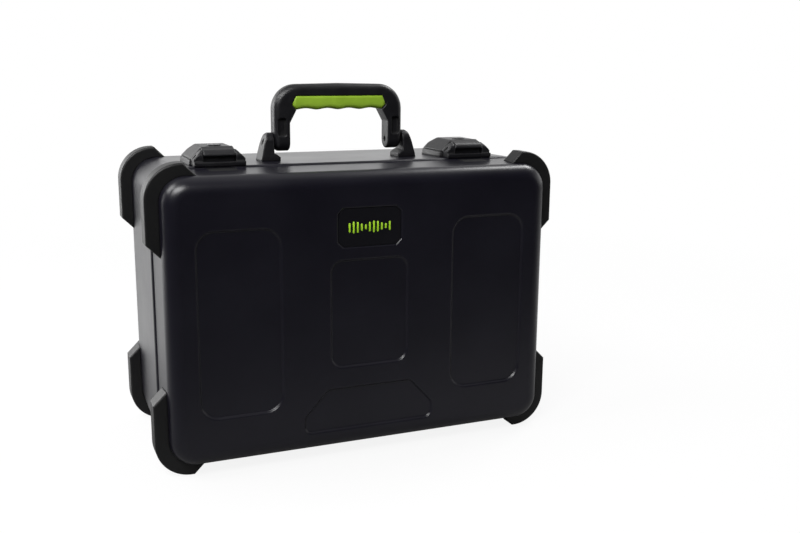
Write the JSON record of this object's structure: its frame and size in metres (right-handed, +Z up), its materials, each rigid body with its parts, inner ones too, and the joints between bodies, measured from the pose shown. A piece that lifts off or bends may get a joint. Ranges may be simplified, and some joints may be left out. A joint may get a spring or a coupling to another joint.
{
  "type": "microphone case",
  "caption": "Upright moulded hard case with a hinged lid, corner guards, hasp latches with key locks, a folding carrying handle and a foam insert for handheld microphones.",
  "frame": {"origin": "on the floor under the middle of the case's bounding box, standing upright on its lower guards", "axes": "+Z up through the handle, -Y out of the lid's front, +X to the viewer's right along the hinge"},
  "size_m": [0.467, 0.222, 0.4085],
  "materials": {
    "shell_plastic": "fine pebbled moulded polymer, near black, faint sheen",
    "guard_plastic": "pebbled tough polymer, matte black",
    "fitting_plastic": "glass-filled nylon, black, lightly grained",
    "grip": "soft moulded rubber, lime green, satin",
    "badge": "smooth black inlay, satin gloss",
    "badge_mark": "lime green raised bars",
    "black_steel": "black coated steel",
    "fasteners": "zinc plated steel",
    "lock_metal": "plated zinc alloy, satin",
    "foam": "dense closed-cell foam, charcoal"
  },
  "bodies": {
    "case_body": {"body_guard_bottom_left": "guard_plastic", "body_guard_bottom_right": "guard_plastic", "body_guard_screws": "fasteners", "body_guard_top_left": "guard_plastic", "body_guard_top_right": "guard_plastic", "body_shell": "shell_plastic", "foam_accessory_tray": "foam", "foam_back_pad": "foam", "foam_mic_row_lower": "foam", "foam_mic_row_upper": "foam", "handle_backing_plate_left": "black_steel", "handle_backing_plate_right": "black_steel", "handle_bracket_left": "fitting_plastic", "handle_bracket_right": "fitting_plastic", "handle_bracket_screws": "fasteners", "hinge_body_leaf": "black_steel", "hinge_body_rivets": "fasteners", "hinge_pin": "black_steel", "latch_base_left": "fitting_plastic", "latch_base_right": "fitting_plastic", "latch_base_screws": "fasteners", "latch_pin_left": "black_steel", "latch_pin_right": "black_steel"},
    "lid": {"badge_bars": "badge_mark", "badge_plate": "badge", "foam_lid_liner": "foam", "hinge_lid_leaf": "black_steel", "hinge_lid_rivets": "fasteners", "latch_striker_left": "black_steel", "latch_striker_right": "black_steel", "latch_striker_screws": "fasteners", "lid_guard_bottom_left": "guard_plastic", "lid_guard_bottom_right": "guard_plastic", "lid_guard_screws": "fasteners", "lid_guard_top_left": "guard_plastic", "lid_guard_top_right": "guard_plastic", "lid_shell": "shell_plastic"},
    "latch_left": {"latch_flap_left": "fitting_plastic"},
    "latch_right": {"latch_flap_right": "fitting_plastic"},
    "lock_left": {"lock_cam_left": "black_steel", "lock_cylinder_left": "lock_metal"},
    "lock_right": {"lock_cam_right": "black_steel", "lock_cylinder_right": "lock_metal"},
    "handle": {"handle_frame": "fitting_plastic", "handle_grip": "grip", "handle_pin_left": "black_steel", "handle_pin_right": "black_steel"}
  },
  "joints": [
    {"name": "lid_hinge", "type": "hinge", "parent": "case_body", "child": "lid", "pos_m": [0, -0.054, 0.0051], "axis": [1, 0, 0], "range_deg": [0, 160]},
    {"name": "latch_left_hinge", "type": "hinge", "parent": "case_body", "child": "latch_left", "pos_m": [-0.1465, -0.042, 0.3331], "axis": [1, 0, 0], "range_deg": [0, 100]},
    {"name": "lock_left_turn", "type": "hinge", "parent": "latch_left", "child": "lock_left", "pos_m": [-0.1465, -0.021, 0.336], "axis": [0, 0, 1], "range_deg": [0, 90]},
    {"name": "latch_right_hinge", "type": "hinge", "parent": "case_body", "child": "latch_right", "pos_m": [0.1465, -0.042, 0.3331], "axis": [1, 0, 0], "range_deg": [0, 100]},
    {"name": "lock_right_turn", "type": "hinge", "parent": "latch_right", "child": "lock_right", "pos_m": [0.1465, -0.021, 0.336], "axis": [0, 0, 1], "range_deg": [0, 90]},
    {"name": "handle_swing", "type": "hinge", "parent": "case_body", "child": "handle", "pos_m": [0, -0.004, 0.344], "axis": [1, 0, 0], "range_deg": [-90, 90]}
  ]
}
